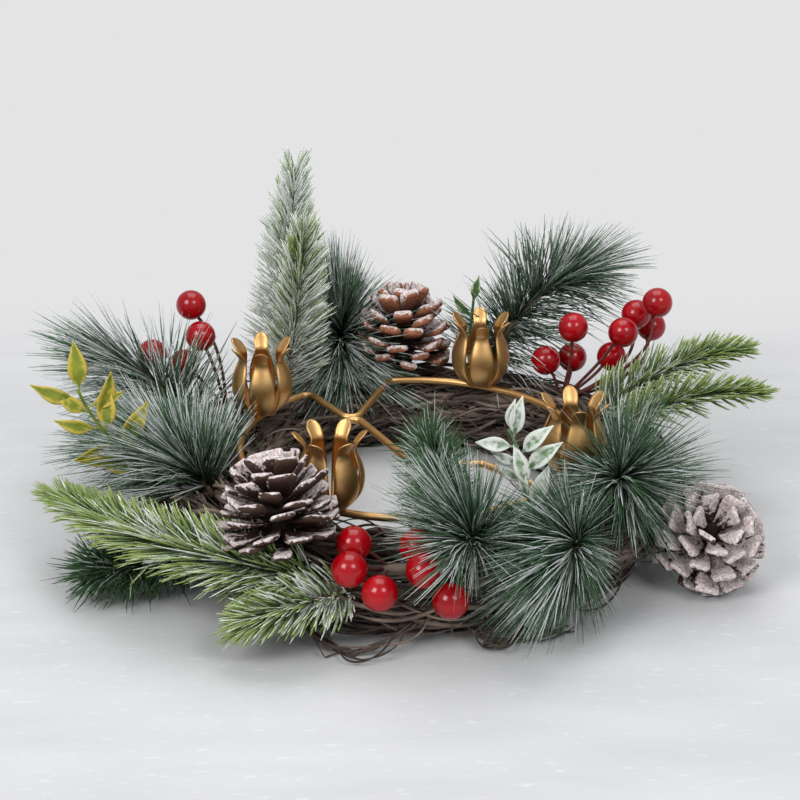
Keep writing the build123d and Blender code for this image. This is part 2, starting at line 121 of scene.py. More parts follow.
def tubes(centres, across, upward, wide, thick, sides, fold=0.0, square=1.0, **values):
    """Carry an oval profile along many paths at once.
    Point k of a ring is its centre + wide cos(a) across + (thick sin(a) + fold wide |cos(a)|) upward, with
    a the k-th share of a full turn. Sine and cosine are raised to the power square, which makes the profile
    squarer below one. The values are kept for each point."""
    shape = centres.shape[:2]
    turn = 2 * math.pi * np.arange(sides) / sides
    wide = np.broadcast_to(wide, shape)[..., None, None]
    thick = np.broadcast_to(thick, shape)[..., None, None]
    cosine, sine = np.cos(turn)[:, None], np.sin(turn)[:, None]
    cosine = np.sign(cosine) * np.abs(cosine) ** square
    sine = np.sign(sine) * np.abs(sine) ** square
    lift = thick * sine + fold * wide * np.abs(cosine)
    across = np.broadcast_to(across, shape + (3,))[:, :, None]
    upward = np.broadcast_to(upward, shape + (3,))[:, :, None]
    points = centres[:, :, None] + wide * cosine * across + lift * upward
    shades = {key: np.broadcast_to(value, shape + (sides,)).ravel() for key, value in values.items()}
    return points.reshape(-1, 3), ring_faces(*shape, sides), shades


def make_piece(name, chunks, material):
    """One mesh out of several sets of points, faces and values, in place of the node that it is named after.
    The values become attributes, and no point lies lower than just above the table."""
    counts = np.cumsum([0] + [len(chunk[0]) for chunk in chunks])
    points = np.concatenate([chunk[0] for chunk in chunks])
    points[:, 2] = np.maximum(points[:, 2], above_table)
    groups = [group + start for chunk, start in zip(chunks, counts) for group in chunk[1]]
    corners = np.concatenate([group.ravel() for group in groups])
    sizes = np.concatenate([np.full(len(group), group.shape[1]) for group in groups])
    mesh = bpy.data.meshes.new(name)
    mesh.vertices.add(len(points))
    mesh.vertices.foreach_set("co", points.astype(np.float32).ravel())
    mesh.loops.add(len(corners))
    mesh.loops.foreach_set("vertex_index", corners.astype(np.int32))
    mesh.polygons.add(len(sizes))
    mesh.polygons.foreach_set("loop_start", np.concatenate([[0], np.cumsum(sizes)[:-1]]).astype(np.int32))
    mesh.polygons.foreach_set("use_smooth", np.ones(len(sizes), dtype=bool))
    for key in chunks[0][2]:
        shade = np.concatenate([chunk[2][key] for chunk in chunks])
        mesh.attributes.new(key, "FLOAT", "POINT").data.foreach_set("value", shade.astype(np.float32))
    mesh.update(calc_edges=True)
    mesh.validate()
    mesh.materials.append(material)
    piece = bpy.data.objects.new(name, mesh)
    bpy.context.collection.objects.link(piece)
    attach(piece, "root")
    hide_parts(name.removesuffix("_look"))


def round_tube(centres, radius, sides, **values):
    """A round tube along each path, whose profile starts level with the table where it can."""
    heading = unit(np.gradient(centres, axis=1))
    across = unit(np.cross(heading, [0.0, 0.02, 1.0]))
    return tubes(centres, across, np.cross(heading, across), radius, radius, sides, **values)


# Materials
def linear(red, green, blue):
    """A colour of 0 to 255 a channel as the light values that the shaders take."""
    share = np.array([red, green, blue]) / 255
    light = np.where(share <= 0.04045, share / 12.92, ((share + 0.055) / 1.055) ** 2.4)
    return (*light, 1.0)


class Finish:
    """A procedural material in the making. Methods add nodes and give their output, and colour ends it."""

    def __init__(self, name, roughness, **sockets):
        self.material = bpy.data.materials.new(name)
        self.material.use_nodes = True
        self.tree = self.material.node_tree
        self.shader = self.tree.nodes["Principled BSDF"]
        self.shader.inputs["Roughness"].default_value = roughness
        for key, value in sockets.items():
            self.shader.inputs[key.replace("_", " ")].default_value = value

    def link(self, source, target):
        """Join an output, or set a plain value."""
        if isinstance(source, bpy.types.NodeSocket):
            self.tree.links.new(source, target)
        else:
            target.default_value = source

    def noise(self, scale, detail=3.0, stretch=(1, 1, 1)):
        """Cloudy noise on the object's own coordinates."""
        place = self.tree.nodes.new("ShaderNodeTexCoord")
        mapping = self.tree.nodes.new("ShaderNodeMapping")
        mapping.inputs["Scale"].default_value = stretch
        texture = self.tree.nodes.new("ShaderNodeTexNoise")
        texture.inputs["Scale"].default_value = scale
        texture.inputs["Detail"].default_value = detail
        self.link(place.outputs["Object"], mapping.inputs["Vector"])
        self.link(mapping.outputs["Vector"], texture.inputs["Vector"])
        return texture.outputs["Fac"]

    def attribute(self, name):
        """One of the piece's own values."""
        node = self.tree.nodes.new("ShaderNodeAttribute")
        node.attribute_name = name
        return node.outputs["Fac"]

    def facing_up(self):
        """How far the surface looks upwards, from -1 to 1."""
        geometry = self.tree.nodes.new("ShaderNodeNewGeometry")
        parts = self.tree.nodes.new("ShaderNodeSeparateXYZ")
        self.link(geometry.outputs["Normal"], parts.inputs["Vector"])
        return parts.outputs["Z"]

    def combine(self, operation, first, second):
        """Two values put together by a maths operation."""
        node = self.tree.nodes.new("ShaderNodeMath")
        node.operation = operation
        self.link(first, node.inputs[0])
        self.link(second, node.inputs[1])
        return node.outputs["Value"]

    def plus(self, value, other, share):
        """A value with a share of another one added."""
        return self.combine("ADD", value, self.combine("MULTIPLY", other, share))

    def fade(self, value, low, high):
        """0 below low, 1 above high, and smooth between."""
        node = self.tree.nodes.new("ShaderNodeMapRange")
        node.interpolation_type = "SMOOTHSTEP"
        node.inputs["From Min"].default_value = low
        node.inputs["From Max"].default_value = high
        self.link(value, node.inputs["Value"])
        return node.outputs["Result"]

    def ramp(self, factor, *stops):
        """Colours along a value, as (place, colour)."""
        node = self.tree.nodes.new("ShaderNodeValToRGB")
        elements = node.color_ramp.elements
        while len(elements) < len(stops):
            elements.new(0.5)
        for element, (place, colour) in zip(elements, stops):
            element.position = place
            element.color = linear(*colour)
        self.link(factor, node.inputs["Fac"])
        return node.outputs["Color"]

    def mix(self, factor, low, high):
        """One colour over another, as far as the factor says."""
        node = self.tree.nodes.new("ShaderNodeMix")
        node.data_type = "RGBA"
        self.link(factor, node.inputs["Factor"])
        self.link(low, node.inputs[6])
        self.link(high, node.inputs[7])
        return node.outputs[2]

    def bump(self, height, strength, distance):
        """Relief from a value."""
        node = self.tree.nodes.new("ShaderNodeBump")
        node.inputs["Strength"].default_value = strength
        node.inputs["Distance"].default_value = distance
        self.link(height, node.inputs["Height"])
        self.link(node.outputs["Normal"], self.shader.inputs["Normal"])

    def colour(self, source):
        """Give the material its colour."""
        self.link(source, self.shader.inputs["Base Color"])
        return self.material


def needle_finish(name, dark, middle, tip, frost):
    """Needles: dark to light by their own tone, lighter at the tip, with flocked frost mostly on top."""
    look = Finish(name, 0.6, Specular_IOR_Level=0.3)
    tone = look.ramp(look.attribute("tone"), (0.0, dark), (1.0, middle))
    body = look.mix(look.fade(look.attribute("along"), 0.35, 1.0), tone, linear(*tip))
    stem = look.mix(look.attribute("stem"), body, linear(86, 70, 48))
    flock = look.plus(look.attribute("frost"), look.facing_up(), 0.28)
    flock = look.plus(flock, look.noise(1100, 2.0), 0.7)
    flock = look.plus(flock, look.noise(60, 4.0), 0.5)
    return look.colour(look.mix(look.fade(flock, 1.05, 1.5), stem, linear(*frost)))


def gold_finish():
    """Satin antique gold, a little duller and browner in clouds."""
    look = Finish("gold", 0.4, Metallic=1.0)
    cloud = look.noise(60, 4.0)
    look.bump(look.noise(900, 2.0), 0.05, 0.0002)
    return look.colour(look.ramp(cloud, (0.3, (196, 152, 96)), (0.7, (218, 176, 118))))


def bark_finish():
    """Dark twig bark with pale worn streaks."""
    look = Finish("bark", 0.8, Specular_IOR_Level=0.25)
    tone = look.ramp(look.attribute("tone"), (0.0, (48, 40, 36)), (0.7, (88, 76, 69)), (1.0, (138, 122, 110)))
    worn = look.fade(look.noise(420, 5.0), 0.52, 0.72)
    look.bump(look.noise(700, 4.0), 0.5, 0.0006)
    return look.colour(look.mix(look.combine("MULTIPLY", worn, 0.5), tone, linear(128, 106, 84)))


def wire_finish():
    """Dull dark binding wire with rust-brown clouds."""
    look = Finish("binding_wire", 0.5, Metallic=0.7)
    return look.colour(look.ramp(look.noise(200), (0.35, (58, 54, 48)), (0.7, (92, 76, 58))))


def cone_finish(name, light):
    """Cone scales: lighter outside and darkened by painted shade towards the core, with white paint brushed
    over the ends and edges.
    """
    look = Finish(name, 0.75, Specular_IOR_Level=0.25)
    along = look.attribute("along")
    # Painted shade: the ramp runs to near black at the scale roots, where the scales crowd round the core.
    wood = look.ramp(along, (0.0, (20, 12, 9)), (0.5, (56, 35, 27)), (1.0, light))
    grain = look.noise(620, 5.0)
    wood = look.mix(look.combine("MULTIPLY", look.fade(grain, 0.45, 0.7), 0.6), wood, linear(44, 27, 20))
    paint = look.plus(along, look.attribute("edge"), 0.25)
    paint = look.plus(paint, look.noise(420, 6.0), 1.9)
    paint = look.plus(paint, look.attribute("frost"), 0.6)
    paint = look.plus(paint, look.attribute("streak"), -0.7)
    white = look.ramp(look.noise(800, 4.0), (0.35, (172, 150, 146)), (0.62, (226, 217, 216)))
    look.bump(grain, 0.8, 0.0008)
    return look.colour(look.mix(look.fade(paint, 1.68, 2.0), wood, white))


def berry_finish():
    """Glossy red lacquer, a little darker in clouds, with painted shade round the dimple where the stem goes
    in.
    """
    look = Finish("berry", 0.2, Specular_IOR_Level=0.3, Coat_Weight=0.3, Coat_Roughness=0.05)
    shade = look.ramp(look.noise(70, 3.0), (0.3, (140, 1, 12)), (0.7, (174, 5, 18)))
    # Painted shade: a darker red round the stem's dimple, carried by the along value.
    return look.colour(look.mix(look.attribute("along"), shade, linear(84, 6, 8)))


def stem_finish():
    """Brown paper-wound berry stems."""
    look = Finish("berry_stem", 0.7)
    return look.colour(look.ramp(look.noise(500, 3.0), (0.35, (70, 20, 18)), (0.7, (104, 44, 34))))


def leaf_finish(name, dark, light, edge, edge_low, edge_high):
    """Leaves: two greens in clouds, with another colour that comes in from the edge, most at the tip."""
    look = Finish(name, 0.45, Specular_IOR_Level=0.4)
    cloud = look.plus(look.noise(140, 4.0), look.attribute("tone"), 0.3)
    body = look.ramp(cloud, (0.42, dark), (0.85, light))
    rim = look.plus(look.attribute("edge"), look.noise(260, 5.0), 1.7)
    rim = look.plus(rim, look.attribute("along"), 0.25)
    return look.colour(look.mix(look.fade(rim, edge_low, edge_high), body, linear(*edge)))


gold = gold_finish()
bark = bark_finish()
wire = wire_finish()
cone_brown = cone_finish("pinecone_brown", (164, 104, 76))
cone_grey = cone_finish("pinecone_grey", (68, 47, 38))
berry_red = berry_finish()
berry_stem = stem_finish()
fir_green = needle_finish("fir", (56, 80, 46), (94, 120, 66), (146, 166, 92), (222, 227, 219))
tuft_green = needle_finish("pine_tuft", (20, 38, 26), (60, 92, 62), (82, 110, 82), (200, 205, 203))
tinsel_green = needle_finish("tinsel", (14, 38, 22), (36, 66, 38), (58, 88, 52), (180, 190, 180))
leaf_yellow = leaf_finish("leaf_yellow", (84, 108, 28), (148, 154, 46), (200, 178, 74), 1.3, 1.8)
leaf_frosted = leaf_finish("leaf_frosted", (52, 92, 46), (104, 132, 92), (214, 219, 209), 1.0, 1.6)
leaf_green = leaf_finish("leaf_green", (50, 88, 44), (92, 124, 60), (176, 186, 150), 1.6, 1.9)


# Vines: each wound from a thick twig and several thin ones
def vine_line(turn, phase):
    """Middle of a vine at a turn in radians: a place on an ellipse round the ring's middle line, which moves
    round that ellipse as the vine goes on."""
    angle = phase + vine_twist * turn
    out = ring_radius + bundle_half_width * np.cos(angle)
    height = bundle_height + bundle_half_height * np.sin(angle)
    return np.stack([out * np.cos(turn), out * np.sin(turn), height], axis=-1)


def base_vine_line(turn):
    """Middle of the base vine at a turn in radians: a flat spiral about the ring's middle line."""
    out = ring_radius + base_vine_pitch * (turn / (2 * math.pi) - base_vine_turns / 2)
    height = np.full(len(turn), base_vine_height)
    return np.stack([out * np.cos(turn), out * np.sin(turn), height], axis=-1)


def twig_bundle(middle, count, spread, thin, thick):
    """Thin twigs that wander round a middle line. Their offsets outwards and upwards are the mean of a few
    sines, and so is the change of each radius."""
    steps = len(middle)
    outward = unit(middle * [1, 1, 0])
    sideways = sway(count, steps, (9, 17, 31), spread)[..., None] * outward
    upwards = sway(count, steps, (8, 19, 29), spread)[..., None] * np.array([0, 0, 1.0])
    centres = middle + sideways + upwards
    radius = chance.uniform(thin, thick, (count, 1)) * (1 + sway(count, steps, (23, 47), 0.35))
    tone = np.clip(chance.uniform(0, 1, (count, 1)) + sway(count, steps, (40, 70), 0.2), 0, 1)
    return round_tube(centres, radius, 6, tone=tone[..., None])


full_length = 2 * math.pi * vine_turns - vine_end_gap / ring_radius
for i in range(vine_count):
    first = 2 * math.pi * i / vine_count
    middle = vine_line(first + np.linspace(0, full_length, 620), first / vine_turns)
    core = twig_bundle(middle, count=1, spread=0.5 * mm, thin=2.3 * mm, thick=2.4 * mm)
    strands = twig_bundle(middle, count=13, spread=9.0 * mm, thin=0.45 * mm, thick=1.15 * mm)
    wiry = twig_bundle(middle, count=7, spread=13.0 * mm, thin=0.3 * mm, thick=0.55 * mm)
    make_piece(f"vine_{i + 1}_look", [core, strands, wiry], bark)

middle = base_vine_line(np.linspace(0, 2 * math.pi * base_vine_turns, 560))
core = twig_bundle(middle, count=1, spread=0.2 * mm, thin=2.7 * mm, thick=2.8 * mm)
strands = twig_bundle(middle, count=9, spread=6.0 * mm, thin=0.45 * mm, thick=1.1 * mm)
make_piece("base_vine_look", [core, strands], bark)


# Loose twigs
twig_radius = 1.15 * mm
twig_shares = np.array([1.0, 0.6, 0.45, 0.55, 0.4, 0.5])


def smooth_route(points, steps):
    """A soft curve through a few points: each of x, y and z is blended by a cubic between neighbours."""
    points = np.array(points)
    share = np.linspace(0, len(points) - 1, steps)
    part = np.clip(share.astype(int), 0, len(points) - 2)
    t = (share - part)[:, None]
    slope = np.gradient(points, axis=0)
    start, end, leave, arrive = points[part], points[part + 1], slope[part], slope[part + 1]
    rise = t * t * (3 - 2 * t)
    return start + (end - start) * rise + leave * t * (1 - t) ** 2 - arrive * t * t * (1 - t)


def loose_twig(name, points):
    """A twig sprung out of the ring, with finer ones that wander beside it, all thinning to their ends."""
    count, steps = len(twig_shares), 90
    middle = smooth_route(points, steps)
    wander = np.stack([sway(count, steps, (0.5, 1.1, 1.9), size * mm) for size in (9, 9, 5)], axis=-1)
    wander[0] *= 0.1
    centres = middle + wander
    centres[:, :, 2] = np.maximum(centres[:, :, 2], 1.0 * mm)
    size = twig_shares[:, None] * np.linspace(1.0, 0.6, steps) * twig_radius
    size = size * (1 + sway(count, steps, (5, 9), 0.3))
    tone = np.broadcast_to(chance.uniform(0.1, 0.9, (count, 1, 1)), (count, steps, 1))
    make_piece(name, [round_tube(centres, size, 6, tone=tone)], bark)


loose_twig("loose_twig_1_look", [
    skin(246, -30),
    around(252, outer_edge + 8 * mm, 6 * mm),
    around(259, outer_edge + 11 * mm, 2.6 * mm),
    around(265, outer_edge + 8 * mm, 7 * mm),
    skin(271, -25),
])
loose_twig("loose_twig_2_look", [
    skin(279, -35),
    around(284, outer_edge + 5 * mm, 5 * mm),
    around(291, outer_edge + 4 * mm, 3 * mm),
    around(299, outer_edge + 7 * mm, 4 * mm),
])


# Gold tulip cups
frame_radius = 88 * mm
cup_floor = 43.96 * mm
first_cup_angle = 64
cup_turned = (26, 0, 0, 0)
petal_count = 6
petal_sheet = 0.9
petal_tip = 4.1
petal_stations = (
    (0, 7.5, 3.8), (3, 10.9, 5.2), (6, 13.4, 6.4), (10, 15.5, 7.1), (15, 16.2, 7.3),
    (20, 15.5, 6.8), (25, 13.7, 5.4), (28.5, 12.2, 4.0), (30, 11.9, 3.6), (31.5, 12.1, 3.4),
    (34, 13.8, 3.8), (36.5, 15.8, petal_tip), (38.5, 17.5, petal_tip),
)


def tulip(name, angle, turned):
    """Six petals of sheet round a small floor. A petal's outer radius and half width run smoothly through its
    stations of (height, outer radius, half width) in millimetres: out to the belly, in to the neck that holds
    the candle, and out again to a round tip."""
    rows = 46
    heights, radii, halves = np.array(petal_stations).T
    height = heights[-1] * (1 - (1 - np.linspace(0, 1, rows)) ** 1.35)
    radius = np.interp(height, heights, radii)
    tip_middle = heights[-1] - petal_tip
    round_tip = np.sqrt(np.maximum(petal_tip**2 - (height - tip_middle) ** 2, 0.0009))
    half = np.where(height > tip_middle, round_tip, np.interp(height, heights, halves))
    smooth = np.ones(5) / 5
    radius[2:-2] = np.convolve(radius, smooth, "valid")
    half[2:-7] = np.convolve(half, smooth, "valid")[: rows - 9]
    across = np.linspace(-1, 1, 9)
    spread = half[:, None] * across / radius[:, None]
    hollow = 0.35 * (1 - across**2) * np.clip(height / 10, 0, 1)[:, None]
    outer = radius[:, None] + hollow
    out = np.concatenate([outer, outer[:, ::-1] - petal_sheet], axis=1)
    first = 2 * math.pi * np.arange(petal_count) / petal_count + math.radians(angle + turned)
    turn = first[:, None, None] + np.concatenate([spread, spread[:, ::-1]], axis=1)
    level = np.broadcast_to(height[:, None], turn.shape)
    points = np.stack([out * np.cos(turn), out * np.sin(turn), level], axis=-1)
    place = around(angle, frame_radius, cup_floor)
    petals = (points.reshape(-1, 3) * mm + place, ring_faces(*turn.shape), {})
    floor_line = np.array([[[0, 0, rise] for rise in (-0.4, 0.0, 1.0, 1.3)]]) * mm + place
    disc = np.array([[7.2, 7.7, 7.7, 7.0]]) * mm
    floor = tubes(floor_line, [1.0, 0, 0], [0, 1.0, 0], disc, disc, 32)
    make_piece(name, [petals, floor], gold)


def recolour(names, material):
    """Give a finish to solids that keep their own shape."""
    for name in names:
        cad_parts[name].data.materials.clear()
        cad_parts[name].data.materials.append(material)


for i, turned in enumerate(cup_turned):
    tulip(f"candle_cup_{i + 1}_look", first_cup_angle + 90 * i, turned)
recolour(["frame_ring", "frame_brace"], gold)
recolour([f"tie_wire_{i + 1}" for i in range(4)], wire)
recolour([f"pinecone_{side}_pick" for side in ("back", "front", "right")], wire)


# Pinecones
cone_radius = 27.5
cone_height = 44
core_radius = 2.6
scale_sides = 10
scale_stations = (
    (0.0, 0.3, 0.3), (0.25, 0.42, 0.32), (0.5, 0.66, 0.42), (0.68, 0.88, 0.6),
    (0.82, 1.0, 0.85), (0.93, 0.98, 1.0), (0.985, 0.9, 0.95), (1.0, 0.74, 0.7),
)
core_stations = ((0, 4.0), (4, 6.0), (13, 7.0), (26, 4.5), (36, 1.5))


def pinecone(name, angle, rise, reach, lean, count, tilts, width, thick, frost, wood):
    """Woody scales at the golden angle round a core, with sizes in millimetres. A scale is an oval carried
    along a line that curves upwards. Its stations are shares of its length, half width and thickness: narrow
    at the core, widest near the end, and thickest near its blunt tip. The core's stations are its height and
    radius. The scales tilt from the first of the two angles at the foot to the second at the top."""
    stands = unit(local(angle, lean))
    foot = skin(angle, rise) + local(angle, reach) + stands * mm
    level = unit(np.cross([0.0, 1.0, 0.1], stands))
    beside = np.cross(stands, level)
    number = np.arange(count)
    share = (number / (count - 1)) ** 1.2
    turn = golden_angle * number
    out = np.cos(turn)[:, None] * level + np.sin(turn)[:, None] * beside
    low, high = tilts
    tilt = np.radians(low + (high - low) * share + chance.uniform(-6, 6, count))[:, None]
    edge_radius = cone_radius * np.sin(math.pi * (0.36 + 0.5 * share)) * chance.uniform(0.93, 1.03, count)
    inside = core_radius * (1 - 0.7 * share)
    length = ((edge_radius - inside) / np.maximum(np.cos(tilt[:, 0]), 0.42))[:, None]
    breadth = width * (0.6 + 0.4 * np.sin(math.pi * (0.25 + 0.6 * share)))
    breadth = (breadth * chance.uniform(0.8, 1.12, count))[:, None]
    roll = chance.normal(0, 0.14, count)[:, None]
    along = out * np.cos(tilt) + stands * np.sin(tilt)
    upper = stands * np.cos(tilt) - out * np.sin(tilt)
    upper, across = rolled(upper, np.cross(upper, along), roll)
    t, outline, depth = np.array(scale_stations).T
    origin = foot + (stands * (cone_height * (0.15 + 0.48 * share))[:, None] + out * inside[:, None]) * mm
    reach_out = (length * t)[..., None] * along[:, None] + (length * 0.16 * t**2)[..., None] * upper[:, None]
    centres = origin[:, None] + reach_out * mm
    side_turn = 2 * math.pi * np.arange(scale_sides) / scale_sides
    grey = np.clip(frost + chance.uniform(-0.25, 0.25, count) + 0.6 * (share - 0.4), -0.2, 1)
    scales = tubes(
        centres, across[:, None], upper[:, None], breadth * outline * mm, thick * depth * mm, scale_sides,
        fold=0.1, square=0.6, along=t[None, :, None], edge=np.abs(np.cos(side_turn)),
        frost=grey[:, None, None] + 0.8 * np.sin(side_turn),
        streak=chance.uniform(0, 1, (count, 1, scale_sides)),
    )
    heights, radii = np.array(core_stations).T
    core_line = (foot + stands * heights[:, None] * mm)[None]
    # With along at 0 the core takes the ramp's darkest colour, which is painted shade deep inside the cone.
    core = tubes(
        core_line, level, beside, radii * mm, radii * mm, scale_sides,
        along=0.0, edge=0.0, frost=-0.3, streak=0.5,
    )
    make_piece(name, [scales, core], wood)


pinecone(
    "pinecone_back_look", 92, 81, (0, 0, 4), (0.05, 0, 1),
    count=52, tilts=(-14, 58), width=6.4, thick=2.1, frost=-0.05, wood=cone_brown,
)
pinecone(
    "pinecone_front_look", 244, 45, (5.5, 0, 9.5), (-0.1, -0.2, 1),
    count=58, tilts=(-18, 50), width=6.6, thick=1.4, frost=0.0, wood=cone_grey,
)
pinecone(
    "pinecone_right_look", 337, -30, (23, -3, -3), (0.3, -0.7, 0.85),
    count=44, tilts=(-10, 50), width=6.2, thick=1.8, frost=0.35, wood=cone_grey,
)


# Berries
berry_radius = 8.2 * mm
berry_stem_radius = 0.9 * mm
berry_stem_depth = 0.6 * mm


def berries(name, angle, rise, places):
    """Round berries on bowed stems. A berry is a ball whose radius dips near the pole where the stem goes in.
    Each place is an offset and its stem's bow along the ring."""
    root = skin(angle, rise) - local(angle, (2, 0, 3))
    centres = np.array([skin(angle, rise) + local(angle, place[:3]) for place in places])
    bows = (root + centres) / 2 + np.array([local(angle, (0, place[3], 0)) for place in places])
    arrive = unit(centres - bows)
    slope = np.linspace(0, math.pi, 26)
    radius = berry_radius * (1 - 0.08 * np.exp(-((slope / 0.25) ** 2)))
    across = unit(np.cross(arrive, [0.1, 0.2, 1.0]))
    upward = np.cross(arrive, across)
    lines = centres[:, None] - (radius * np.cos(slope))[:, None] * arrive[:, None]
    size = np.maximum(radius * np.sin(slope), 0.05 * mm)
    # Mask for the painted shade round the dimple where the stem goes in.
    dark = np.exp(-((slope / 0.3) ** 2))
    balls = tubes(lines, across[:, None], upward[:, None], size, size, 30, along=dark[None, :, None])
    make_piece(name, [balls], berry_red)
    t = np.linspace(0, 1, 24)[:, None]
    ends = centres - arrive * (berry_radius - berry_stem_depth)
    route = np.stack([quadratic(root, bow, end, t)[0] for bow, end in zip(bows, ends)])
    stems = round_tube(route, berry_stem_radius, 8)
    make_piece(name.replace("_look", "_stems_look"), [stems], berry_stem)


berries("berries_left_look", 146, 51, [(20, 0, 55, -8), (9, 6, 41, -2), (20, 8, 23, -2), (34, 18, 29, 12)])
berries("berries_right_look", 43, 73, [
    (30, -39, 57, -18),
    (17, -27, 40, -2),
    (1, -5, 41, -2),
    (-6, 8, 20, -2),
    (36, -20, 44, -16),
    (51, -19, 33, -18),
    (25, -13, 20, -2),
    (16, 8, 16, -2),
])
berries("berries_front_left_look", 265, 59, [(2, -16, 11, 2), (19, -16, 7, -2), (25, -2, -1, -2)])
berries("berries_front_right_look", 276, 59, [(0, -11, 10, 4), (18, -10, 7, 2), (25, 1, -5, -2)])


# Greenery
needle_sides = 4
needle_clearance = 0.8 * mm
fir_profile = ((0, 0.6), (0.15, 1.0), (0.6, 1.0), (0.88, 0.8), (1, 0.25))
pine_profile = ((0, 0.9), (0.35, 1.0), (0.7, 0.8), (1, 0.2))
fir_half_width = 0.5 * mm
tinsel_half_width = 0.42 * mm
tuft_half_widths = (0.28 * mm, 0.42 * mm)
fir_rows = (88, -88, 52, -52, 16, -16, 128, -128)
fir_row_shares = (0.24, 0.24, 0.16, 0.16, 0.05, 0.05, 0.05, 0.05)
tuft_bundle = 5
tuft_loose_share = 0.25


def stem_points(angle, rise, middle, tip):
    """Foot, middle and tip of a stem that stands in the ring and bows through its middle."""
    base = skin(angle, rise)
    inwards = around(angle, ring_radius, bundle_height) - base
    return base + 0.25 * inwards, base + local(angle, middle), base + local(angle, tip)


def stem_tube(route, radius, taper):
    """The stem itself, thinning towards its tip."""
    t = np.linspace(0, 1, 20)[:, None]
    line = quadratic(*route, t)[0][None]
    size = radius * (1 - taper * t[:, 0])[None]
    return round_tube(line, size, 7, along=0.0, tone=0.3, frost=0.0, stem=1.0)


def needle_set(route, facing, share, azimuth, lean, length, curl, width, depth, profile, frost):
    """Many needles on a stem. Each leaves its place on the stem at a lean from the heading, to the side that
    its azimuth gives, runs length t along its way and bends aside by curl t squared. It is an oval whose size
    follows the profile's list of (t, share of the width)."""
    place, heading = quadratic(*route, share[:, None])
    up = unit(facing - heading * (heading @ facing)[:, None])
    beside = np.cross(heading, up)
    side = up * np.cos(azimuth)[:, None] + beside * np.sin(azimuth)[:, None]
    cosine, sine = np.cos(lean)[:, None], np.sin(lean)[:, None]
    way = heading * cosine + side * sine
    blade = heading * sine - side * cosine
    t, swell = np.array(profile).T
    centres = place[:, None] + (way * length[:, None])[:, None] * t[:, None]
    centres = centres + (curl * length[:, None])[:, None] * (t**2)[:, None]
    centres[:, :, 2] = np.maximum(centres[:, :, 2], needle_clearance)
    size = width[:, None] * swell
    tone = chance.uniform(0, 1, len(share))
    return tubes(
        centres, blade[:, None], np.cross(way, blade)[:, None], size, size * depth, needle_sides,
        along=t[None, :, None], tone=tone[:, None, None], frost=frost[:, None, None], stem=0.0,
    )


def fir(name, angle, rise, middle, tip, facing, count, length, frost, taper=0.35, fuller=0.0):
    """A fir tip: flat needles in rows at set azimuths, most to both sides, fewer above and a few beneath,
    closing in to the tip. The taper is how much shorter they are at the tip, and fuller how much longer to
    one side at the foot."""
    route = stem_points(angle, rise, middle, tip)
    share = np.sort(chance.uniform(0.04, 1.0, count))
    row = chance.choice(fir_rows, count, p=fir_row_shares)
    azimuth = np.radians(row + chance.normal(0, 8, count))
    lean = np.radians(62 - 32 * share**2 + chance.normal(0, 5, count))
    flat = 0.74 + 0.26 * np.abs(np.sin(azimuth))
    size = length * mm * (1.1 - taper * share**1.4) * chance.uniform(0.82, 1.06, count) * flat
    size = size * (1 - fuller * np.sin(azimuth) * (1 - share))
    heading = unit(route[2] - route[0])
    curl = 0.2 * heading + chance.normal(0, 0.05, (count, 3))
    white = np.clip(frost + 0.3 * (1 - 1.5 * share) + chance.normal(0, 0.28, count), 0, 1)
    needles = needle_set(
        route, unit(local(angle, facing)), share, azimuth, lean, size, curl,
        np.full(count, fir_half_width), 0.6, fir_profile, white,
    )
    make_piece(name, [needles, stem_tube(route, 1.6 * mm, 0.5)], fir_green)


def tuft(name, angle, rise, middle, tip, facing, lean_ends, length, count, frost, fan=(0, 0.3, 0)):
    """A pine tuft: long thin needles in bundles round a short stem, leaning less towards its tip.
    The fan gives the azimuth in degrees that most bundles take, how closely they keep to it, and how much
    longer they are on that side. A share of the bundles is loose and goes any way."""
    route = stem_points(angle, rise, middle, tip)
    way, close, stretch = fan
    bundles = count // tuft_bundle
    bundle = chance.integers(0, bundles, count)
    share = chance.uniform(0.08, 1.0, bundles)[bundle]
    share = np.clip(share + chance.normal(0, 0.02, count), 0.02, 1.0)
    loose = chance.random(bundles) < tuft_loose_share
    any_way = chance.uniform(-math.pi, math.pi, bundles)
    toward = np.where(loose, any_way, chance.vonmises(math.radians(way), close, bundles))
    azimuth = toward[bundle] + chance.normal(0, 0.2, count)
    base_lean, tip_lean = lean_ends
    stray = chance.normal(0, 9, bundles)[bundle] + chance.normal(0, 6, count)
    lean = np.radians(base_lean + (tip_lean - base_lean) * share**1.6 + stray)
    lean = np.clip(np.abs(lean), 0.03, 1.9)
    size = length * mm * (chance.uniform(0.72, 1.05, bundles) - 0.2 * loose)[bundle]
    size = size * chance.uniform(0.9, 1.04, count) * (1 + stretch * np.cos(azimuth - math.radians(way)))
    curl = chance.normal(0, 0.07, (bundles, 3))[bundle] + chance.normal(0, 0.02, (count, 3)) + [0, 0, -0.08]
    white = np.where(chance.random(count) < frost, 0.68, 0.12) + chance.normal(0, 0.12, count)
    needles = needle_set(
        route, unit(local(angle, facing)), share, azimuth, lean, size, curl,
        chance.uniform(*tuft_half_widths, count), 0.75, pine_profile, white,
    )
    make_piece(name, [needles, stem_tube(route, 2.0 * mm, 0.3)], tuft_green)


